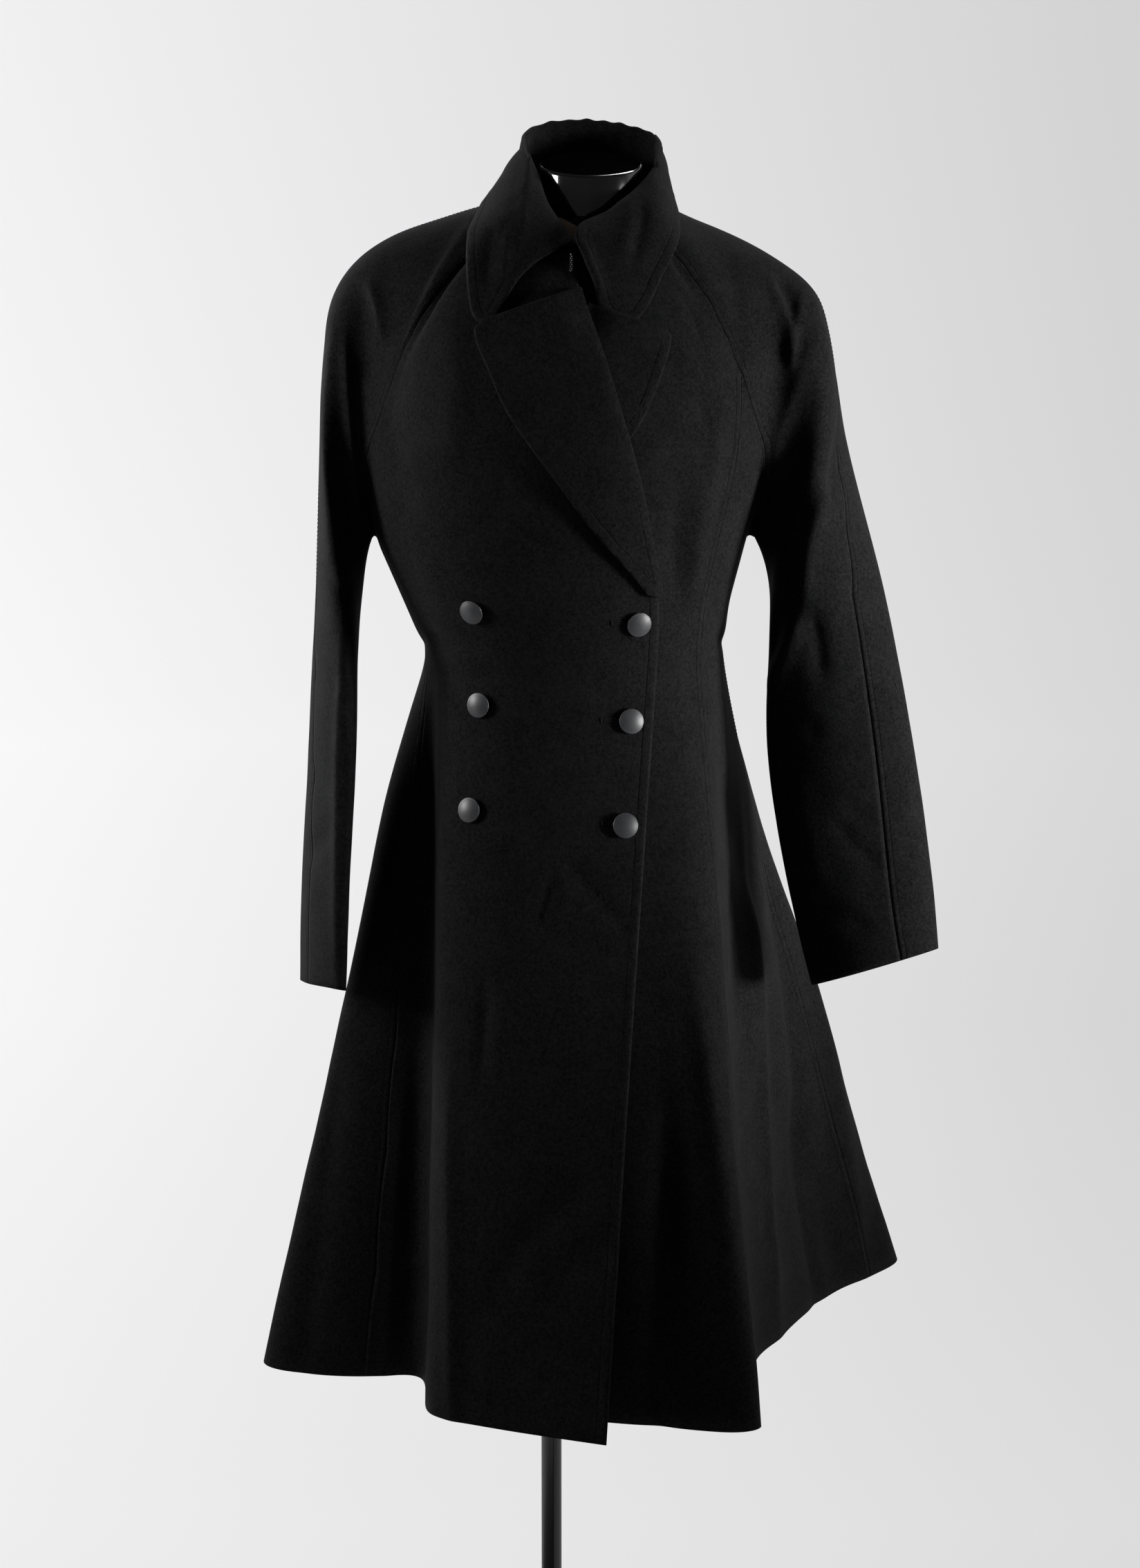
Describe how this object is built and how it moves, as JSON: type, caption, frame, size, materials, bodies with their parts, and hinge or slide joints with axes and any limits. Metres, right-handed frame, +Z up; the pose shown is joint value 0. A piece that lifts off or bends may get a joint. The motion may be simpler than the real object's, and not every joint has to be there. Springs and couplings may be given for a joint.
{
  "type": "wool coat on dress form",
  "caption": "Black double-breasted wool coat with raglan sleeves, big collar and flared skirt, worn by a limbless dress form on a pole stand.",
  "frame": {"origin": "centre of the stand base's underside, on the floor", "axes": "+Z up, -Y is the wearer's front, +X is the wearer's left"},
  "size_m": [0.6407, 0.5928, 1.5682],
  "materials": {
    "wool": "black milled wool, matt with a short nap",
    "button": "dark grey satin, shallow dome",
    "form_cloth": "unbleached cotton cover",
    "neck": "black gloss lacquer",
    "stand": "black satin powder coat",
    "hook": "black japanned steel, worn bright at its ends"
  },
  "bodies": {
    "root": {"front_right": "wool", "front_left": "wool", "side_right": "wool", "side_left": "wool", "back_right": "wool", "back_left": "wool", "sleeve_right_front": "wool", "sleeve_right_back": "wool", "sleeve_left_front": "wool", "sleeve_left_back": "wool", "collar": "wool", "lapel_right": "wool", "lapel_left": "wool", "button_right_top": "button", "button_right_middle": "button", "button_right_low": "button", "button_left_top": "button", "button_left_middle": "button", "button_left_low": "button", "form_torso": "form_cloth", "form_neck": "neck", "stand_pole": "stand", "stand_base": "stand", "neck_hook": "hook"}
  },
  "joints": []
}
